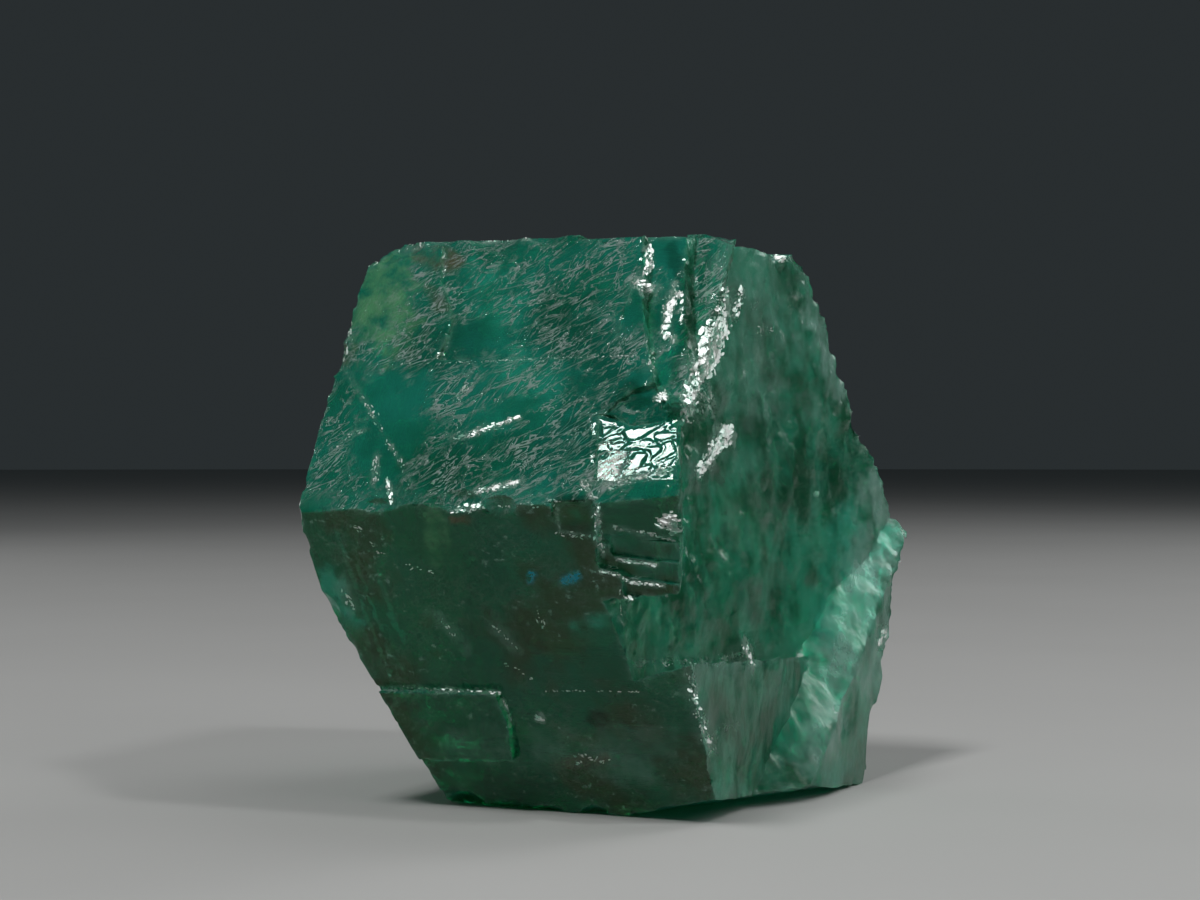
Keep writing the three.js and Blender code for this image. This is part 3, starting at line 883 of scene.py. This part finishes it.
def flake_for(light_way):
    """What makes a flat flake's points: it stands out of the surface, facing halfway from camera to light."""
    light_place = MIRROR_CENTRE + LIGHT_DISTANCE * light_way

    def flake(start, place, normal, along, size, random):
        """One flake's points, from the plate's."""
        halfway = (Vector(CAMERA) - place).normalized() + (light_place - place).normalized()
        faced = (halfway.normalized() + Vector(random.normal(0, FLAKE_TILT, 3))).normalized()
        axes = turned_axes(faced, along, random)
        stretch = np.array([random.uniform(*span) for span in FLAKE_STRETCH] + [FLAKE_THICKNESS])
        uneven = start * np.append(random.uniform(*FLAKE_UNEVEN, 2), 1)
        size = size * FLAKE_SIZE
        lifted = place + normal * FLAKE_LIFT * size * normal.cross(faced).length
        return (uneven * stretch * size) @ axes + np.array(lifted)

    return flake


def scattered(marks, make, start, surface, random):
    """Every splinter that one group of marks asks for, made by one function from the same starting shape."""
    start_points, start_faces = start
    pieces = []
    for reach, count, *line in marks.values():
        along = course(surface, line)
        largest = min(LARGEST_SIZE, LEAST_SIZE + reach * SIZE_PER_REACH)
        for pixel in spread_along(line, count, reach, random):
            size = largest * random.uniform(*SIZE_SPREAD)
            place, normal = under_pixel(surface, pixel)
            if place is not None:
                pieces.append((make(start_points, place, normal, along, size, random), start_faces))
    return pieces


def build_shards(points, faces):
    """All shards and flakes as one piece."""
    surface = BVHTree.FromPolygons([Vector(point) for point in points], faces.tolist())
    random = np.random.default_rng(SHARD_SEED)
    pieces = scattered(SHARD_MARKS, shard, ball(), surface, random)
    pieces += scattered(GLINT_MARKS, flake_for(KEY_WAY), plate(), surface, random)
    pieces += scattered(BREAK_GLINT_MARKS, flake_for(BREAK_WAY), plate(), surface, random)
    shards, triangles = zip(*pieces)
    first_points = np.cumsum([0] + [len(shard_points) for shard_points in shards[:-1]])
    triangles = [piece_triangles + first for piece_triangles, first in zip(triangles, first_points)]
    shards = np.clip(np.concatenate(shards), points.min(0), points.max(0))
    add_piece("shards", shards, np.concatenate(triangles), build_shard_material())


# Materials.

class Nodes:
    """Short ways to add shader nodes to one material."""

    def __init__(self, name):
        self.material = bpy.data.materials.new(name)
        self.material.use_nodes = True
        self.tree = self.material.node_tree
        self.shader = self.tree.nodes["Principled BSDF"]
        self.output = self.tree.nodes["Material Output"]

    def add(self, kind, inputs=None, **settings):
        """A node with its settings, and its inputs joined or set."""
        node = self.tree.nodes.new(kind)
        for key, value in settings.items():
            setattr(node, key, value)
        for key, value in (inputs or {}).items():
            self.put(node.inputs[key], value)
        return node

    def put(self, socket, value):
        """Joins an input to another node, or sets its plain value."""
        if isinstance(value, bpy.types.NodeSocket):
            self.tree.links.new(value, socket)
        else:
            socket.default_value = value

    def shade(self, name, value):
        """Sets one input of the material's shader."""
        self.put(self.shader.inputs[name], value)

    def math(self, operation, first, second=0.0, clamp=False):
        inputs = {0: first, 1: second}
        return self.add("ShaderNodeMath", inputs, operation=operation, use_clamp=clamp).outputs[0]

    def plus(self, first, second):
        return self.math("ADD", first, second)

    def times(self, first, second, clamp=False):
        return self.math("MULTIPLY", first, second, clamp)

    def without(self, share):
        """What a share from 0 to 1 leaves over."""
        return self.math("SUBTRACT", 1.0, share)

    def attribute(self, name):
        """One of the mesh's covers."""
        return self.add("ShaderNodeAttribute", attribute_name=name).outputs["Fac"]

    def placed(self, scale):
        """Places on the object in mm, stretched."""
        at = self.add("ShaderNodeTexCoord").outputs["Object"]
        inputs = {"Vector": at, "Scale": [factor / MM for factor in scale]}
        return self.add("ShaderNodeMapping", inputs).outputs[0]

    def noise(self, at, scale, detail=3.0, roughness=0.55, distortion=0.0):
        """Cloudy noise, finer where the scale is larger."""
        inputs = {"Vector": at, "Scale": scale, "Detail": detail, "Roughness": roughness}
        return self.add("ShaderNodeTexNoise", inputs | {"Distortion": distortion}).outputs["Fac"]

    def band(self, value, low, high):
        """A smooth step from 0 at low to 1 at high."""
        inputs = {"Value": value, "From Min": low, "From Max": high}
        return self.add("ShaderNodeMapRange", inputs, interpolation_type="SMOOTHSTEP").outputs[0]

    def mix(self, factor, first, second):
        """A mix of two colours."""
        node = self.add("ShaderNodeMix", data_type="RGBA", blend_type="MIX")
        self.put(node.inputs[0], factor)
        self.put(node.inputs[6], first)
        self.put(node.inputs[7], second)
        return node.outputs[2]


def colour(red, green, blue):
    return (red, green, blue, 1)


# Beryl is the same all through: how it bends light, how much it lets in, and what its depth takes out.
BERYL_INDEX = 1.58
CLEAR_SHARE = 0.7
SHINE_TINT = colour(0.4, 0.45, 0.42)
DEPTH_COLOUR = colour(0.025, 0.74, 0.525)
DEPTH_DENSITY = 400.0

# The colours of the crystal, before its own depth darkens them.
CLEAR_GREENS = colour(0.015, 0.32, 0.19), colour(0.03, 0.52, 0.38)
BROKEN_GREENS = colour(0.01, 0.22, 0.1), colour(0.07, 0.68, 0.42)
BROWN_DEPTH = colour(0.1, 0.13, 0.05)
# A milky haze for broken surfaces and flecks, also used as painted sheen.
HAZE_AND_SHEEN = colour(0.55, 0.98, 0.84)
# The hairlines' whitish colour: the scratches' own, and partly painted glint.
HAIRLINE_AND_GLINT = colour(0.8, 1.0, 0.95)
# The pale marks' colour: crushed bits, and painted highlights where they catch the light.
PALE_BITS_AND_HIGHLIGHT = colour(0.7, 1.0, 0.87)
WORN = colour(0.4, 0.9, 0.7)

# How strongly the brown depths, their flecks, the hairlines with their painted glint, the pale marks with
# their painted highlights, and the worn edges cover it.
BROWN_STRENGTH, FLECK_STRENGTH = 0.8, 0.8
HAIRLINE_AND_GLINT_STRENGTH, PALE_BITS_AND_HIGHLIGHT_STRENGTH, WORN_STRENGTH = 0.9, 0.6, 0.4

# Crushed splinters and the floor, each between two tones.
SPLINTER_TONES = colour(0.4, 0.82, 0.64), colour(0.95, 1.0, 0.95)
SPLINTER_CLEAR_SHARE = 0.3
FLOOR_TONES = colour(0.46, 0.46, 0.45), colour(0.51, 0.51, 0.5)
FLOOR_ROUGHNESS = 0.7

# Roughness of the glassy faces, and what each kind of surface adds to it or the mirror takes off.
GLASSY = 0.06
BREAK_DULLER, PALE_DULLER, HAIRLINE_DULLER = 0.2, 0.12, 0.1
MIRROR_SMOOTHER = 0.03
BUMP_STRENGTH, BUMP_DEPTH = 0.6, 0.02

# Hairlines: most run up to the right as the mirror's scales do, and some are steeper.
STEEP_ALONG, STEEP_ACROSS = (0.5, 0.43, 0.75), (0.87, -0.25, -0.43)
HAIRLINES_ELSEWHERE = 0.12

# Marks laid over the body colour: the strength of each, its colour, and how its cover is broken up.
Layer = namedtuple("Layer", "strength colour cover")
LAYERS = {
    # Deeper green on the lower front face, which faces down: painted shade.
    "lower": Layer(0.75, colour(0.02, 0.25, 0.11), "even"),
    # Turquoise: mostly painted glow.
    "teal": Layer(0.85, colour(0.06, 0.88, 0.62), "cloudy"),
    # Leaf green: painted glow.
    "leaf": Layer(0.85, colour(0.28, 0.85, 0.4), "cloudy"),
    "blue": Layer(1.0, colour(0.03, 0.7, 1.0), "dotted"),
    "warm": Layer(0.85, colour(0.4, 0.18, 0.1), "cloudy"),
    # Nearly black: a black speck, and painted shade everywhere else.
    "dark": Layer(0.85, colour(0.01, 0.08, 0.04), "even"),
}


def drawn_out(nodes, along, across, length, width):
    """Places on the object measured along and across a direction, for noise drawn out that way."""
    at = nodes.add("ShaderNodeTexCoord").outputs["Object"]
    through = Vector(along).cross(Vector(across))
    places = []
    for axis, size in ((along, length), (across, width), (through, width)):
        scaled = Vector(axis).normalized() / (size * MM)
        dot = nodes.add("ShaderNodeVectorMath", {0: at, 1: scaled}, operation="DOT_PRODUCT")
        places.append(dot.outputs["Value"])
    return nodes.add("ShaderNodeCombineXYZ", dict(enumerate(places))).outputs[0]


def hairlines(nodes, at, width, distortion):
    """Fine wavering lines: the places where a drawn-out noise crosses its middle value."""
    value = nodes.noise(at, 1.0, roughness=0.6, distortion=distortion)
    away = nodes.math("ABSOLUTE", nodes.math("SUBTRACT", value, 0.5))
    return nodes.band(away, width, width * 0.2)


def scratches(nodes, even):
    """Squiggly lines in patches, mostly drawn out up to the right across the upper front face."""
    slanted = drawn_out(nodes, SCALE_ALONG, SCALE_ACROSS, length=1.1, width=0.3)
    steep = drawn_out(nodes, STEEP_ALONG, STEEP_ACROSS, length=0.8, width=0.26)
    slanted_lines = hairlines(nodes, slanted, width=0.03, distortion=1.0)
    steep_lines = hairlines(nodes, steep, width=0.022, distortion=1.4)
    patches = nodes.band(nodes.noise(even, 0.75, detail=5.0, roughness=0.6), 0.4, 0.62)
    return nodes.times(nodes.math("MAXIMUM", slanted_lines, steep_lines), patches)


def body_colour(nodes, even, broken):
    """Bluish green inside the prism faces, and mottled upright on the break."""
    upright = nodes.placed((1.1, 1.1, 0.8))
    clouds_inside = nodes.band(nodes.noise(even, 0.45, detail=4.0), 0.3, 0.7)
    mottles = nodes.band(nodes.noise(upright, 0.9, detail=6.0, roughness=0.62), 0.38, 0.64)
    return nodes.mix(broken, nodes.mix(clouds_inside, *CLEAR_GREENS), nodes.mix(mottles, *BROKEN_GREENS))


def with_layers(nodes, base, even):
    """The body colour with every layer of marks over it."""
    covers = {
        "even": 1.0,
        "cloudy": nodes.band(nodes.noise(even, 1.5, detail=5.0, roughness=0.62), 0.3, 0.62),
        "dotted": nodes.band(nodes.noise(even, 13.0, detail=2.0, roughness=0.6), 0.38, 0.52),
    }
    for name, layer in LAYERS.items():
        cover = nodes.times(nodes.attribute(name), covers[layer.cover])
        base = nodes.mix(nodes.times(cover, layer.strength), base, layer.colour)
    return base


def with_depths(nodes, base, even):
    """Brownish clouds and faint flecks that show through the lower faces."""
    lower = nodes.attribute("lower")
    brown = nodes.band(nodes.noise(even, 0.4, detail=4.0, roughness=0.6), 0.46, 0.62)
    base = nodes.mix(nodes.times(nodes.times(brown, lower), BROWN_STRENGTH), base, BROWN_DEPTH)
    flecks = nodes.band(nodes.noise(even, 6.0, detail=4.0, roughness=0.7), 0.58, 0.68)
    gathered = nodes.band(nodes.noise(even, 0.8), 0.42, 0.6)
    flecks = nodes.times(nodes.times(flecks, gathered), lower)
    return nodes.mix(nodes.times(flecks, FLECK_STRENGTH), base, HAZE_AND_SHEEN)


def with_pale_marks(nodes, base, pale, lines, even):
    """Haze round the pale marks and painted sheen, then the hairlines with their painted glint, the pale
    marks with their painted highlights, and the worn edges.
    """
    drawn_down = nodes.placed((1.4, 1.4, 0.8))
    streaks = nodes.band(nodes.noise(drawn_down, 1.2, detail=5.0, roughness=0.65), 0.25, 0.72)
    haze = nodes.math("MAXIMUM", nodes.times(nodes.attribute("pale"), 0.45), nodes.attribute("frost_and_sheen"))
    worn = nodes.times(nodes.attribute("wear"), nodes.band(nodes.noise(even, 3.0), 0.42, 0.62))
    # Milky haze, and painted sheen where the frost marks lie.
    base = nodes.mix(nodes.times(haze, streaks), base, HAZE_AND_SHEEN)
    # The hairlines' whitish colour, partly painted glint.
    base = nodes.mix(nodes.times(lines, HAIRLINE_AND_GLINT_STRENGTH), base, HAIRLINE_AND_GLINT)
    # Pale crushed bits, partly painted highlights.
    base = nodes.mix(nodes.times(pale, PALE_BITS_AND_HIGHLIGHT_STRENGTH), base, PALE_BITS_AND_HIGHLIGHT)
    return nodes.mix(nodes.times(worn, WORN_STRENGTH), base, WORN)


def roughness(nodes, broken, pale, lines, mirror):
    """Glassy prism faces, a silkier break, and dull pale marks."""
    rough = GLASSY
    for share, duller in ((broken, BREAK_DULLER), (pale, PALE_DULLER), (lines, HAIRLINE_DULLER)):
        rough = nodes.plus(rough, nodes.times(share, duller))
    return nodes.math("SUBTRACT", rough, nodes.times(mirror, MIRROR_SMOOTHER), clamp=True)


def fine_bumps(nodes, even, broken, pale, flecks, lines, mirror):
    """Growth grooves along the prism, raised hairlines and marks, and grain on the break."""
    grooves = nodes.noise(nodes.placed((0.12, 3.5, 3.5)), 1.0)
    grain = nodes.noise(even, 6.0, detail=4.0)
    height = nodes.times(grooves, nodes.without(broken))
    height = nodes.plus(height, nodes.times(lines, 1.2))
    height = nodes.plus(height, nodes.times(flecks, pale))
    height = nodes.plus(height, nodes.times(grain, nodes.plus(0.15, broken)))
    height = nodes.times(height, nodes.without(mirror))
    inputs = {"Height": height, "Strength": BUMP_STRENGTH, "Distance": BUMP_DEPTH * MM}
    return nodes.add("ShaderNodeBump", inputs).outputs[0]


def build_emerald():
    """Clear green crystal: it lets most light in and its depth absorbs red, so thick parts are dark."""
    nodes = Nodes("emerald")
    even = nodes.placed((1, 1, 1))
    broken, mirror, pale = [nodes.attribute(name) for name in ("broken", "mirror", "pale")]
    lines = nodes.times(scratches(nodes, even), nodes.plus(nodes.attribute("upper"), HAIRLINES_ELSEWHERE))
    lines = nodes.times(lines, nodes.without(mirror), clamp=True)
    crumbs = nodes.noise(even, 4.0, detail=6.0, roughness=0.8, distortion=0.6)
    flecks = nodes.times(nodes.math("SUBTRACT", crumbs, 0.5), 2.6)
    pale = nodes.times(nodes.band(nodes.plus(pale, flecks), 0.5, 0.85), nodes.band(pale, 0.02, 0.3))
    base = with_layers(nodes, body_colour(nodes, even, broken), even)
    base = with_depths(nodes, base, even)
    nodes.shade("Base Color", with_pale_marks(nodes, base, pale, lines, even))
    nodes.shade("Roughness", roughness(nodes, broken, pale, lines, mirror))
    nodes.shade("Normal", fine_bumps(nodes, even, broken, pale, flecks, lines, mirror))
    nodes.shade("Transmission Weight", CLEAR_SHARE)
    nodes.shade("IOR", BERYL_INDEX)
    nodes.shade("Specular Tint", SHINE_TINT)
    depth = nodes.add("ShaderNodeVolumeAbsorption", {"Color": DEPTH_COLOUR, "Density": DEPTH_DENSITY})
    nodes.put(nodes.output.inputs["Volume"], depth.outputs[0])
    return nodes.material


def build_shard_material():
    """Crushed crystal: whitish green and half clear."""
    nodes = Nodes("crushed emerald")
    tone = nodes.noise(nodes.placed((1, 1, 1)), 4.0, detail=4.0)
    nodes.shade("Base Color", nodes.mix(nodes.band(tone, 0.35, 0.6), *SPLINTER_TONES))
    nodes.shade("Roughness", nodes.plus(0.12, nodes.times(tone, 0.3)))
    nodes.shade("Transmission Weight", SPLINTER_CLEAR_SHARE)
    nodes.shade("IOR", BERYL_INDEX)
    return nodes.material


def build_floor_material():
    """A pale, slightly uneven grey."""
    nodes = Nodes("pale floor")
    nodes.shade("Base Color", nodes.mix(nodes.noise(nodes.placed((0.05, 0.05, 0.05)), 1.0), *FLOOR_TONES))
    nodes.shade("Roughness", FLOOR_ROUGHNESS)
    return nodes.material


# Floor, lights and camera, in mm.

def direction(azimuth, elevation):
    """Towards a light: azimuth 0 is in front of the crystal, and it turns to the right."""
    turn, lift = math.radians(azimuth), math.radians(elevation)
    return (math.sin(turn) * math.cos(lift), -math.cos(turn) * math.cos(lift), math.sin(lift))


FLOOR_REACH = 900
FLOOR_STEPS = 96
FLOOR_GAP = 0.01
ROOM_COLOUR = colour(0.022, 0.027, 0.029)
MIRROR_PLACE = MIRROR_CENTRE + ORIGIN
CRYSTAL_MIDDLE = Vector((0, 0, 6))

# Square lights: the way to each from its aim, its distance, its size, its brightness in W per m2 per
# steradian, and its aim.
Light = namedtuple("Light", "way distance size radiance aim")
LIGHTS = {
    "key": Light(KEY_WAY, LIGHT_DISTANCE, 28, 43, MIRROR_PLACE),
    "break": Light(BREAK_WAY, LIGHT_DISTANCE, 14, 60, MIRROR_PLACE),
    "overhead": Light(direction(140, 60), 250, 200, 0.8, CRYSTAL_MIDDLE),
    "right": Light(direction(72, 32), 150, 60, 2.4, CRYSTAL_MIDDLE),
    "back right": Light(direction(148, 28), 200, 70, 4, CRYSTAL_MIDDLE),
    "left edge": Light(direction(-105, 8), 160, 60, 3, CRYSTAL_MIDDLE),
}


def build_floor():
    """A round floor just under the crystal."""
    mesh = bpy.data.meshes.new("floor")
    bm = bmesh.new()
    bmesh.ops.create_circle(bm, cap_ends=True, segments=FLOOR_STEPS, radius=FLOOR_REACH * MM)
    bm.to_mesh(mesh)
    bm.free()
    mesh.materials.append(build_floor_material())
    floor = bpy.data.objects.new("floor", mesh)
    floor.location.z = LOW[2] - FLOOR_GAP * MM
    bpy.context.scene.collection.objects.link(floor)


def build_light(name, light):
    """One square light that faces its aim."""
    lamp = bpy.data.lights.new(name, "AREA")
    lamp.shape = "SQUARE"
    lamp.size = light.size * MM
    lamp.energy = light.radiance * math.pi * (light.size * MM) ** 2
    holder = bpy.data.objects.new(name, lamp)
    away = Vector(light.way).normalized()
    holder.location = (light.aim + away * light.distance) * MM
    holder.rotation_euler = away.to_track_quat("Z", "Y").to_euler()
    bpy.context.scene.collection.objects.link(holder)


def build_room():
    """A dark room around the lights."""
    world = bpy.data.worlds.new("dark room")
    world.use_nodes = True
    world.node_tree.nodes["Background"].inputs["Color"].default_value = ROOM_COLOUR
    bpy.context.scene.world = world


def build_camera():
    """The photograph's camera."""
    camera = bpy.data.cameras.new("camera")
    camera.sensor_fit = "HORIZONTAL"
    camera.sensor_width = SENSOR
    camera.lens = SENSOR * FOCAL_PIXELS / PHOTO_WIDTH
    camera.clip_start = NEAREST_SEEN * MM
    holder = bpy.data.objects.new("camera", camera)
    holder.location = CAMERA_PLACE * MM
    holder.rotation_euler = (math.radians(90), 0, CAMERA_TURN)
    bpy.context.scene.collection.objects.link(holder)
    bpy.context.scene.camera = holder


crystal_points, crystal_faces, surface_cover = crystal_surface()
build_crystal(crystal_points, crystal_faces, surface_cover)
build_shards(crystal_points, crystal_faces)
build_floor()
for light_name, light_values in LIGHTS.items():
    build_light(light_name, light_values)
build_room()
build_camera()
bpy.context.scene.view_settings.view_transform = "Standard"
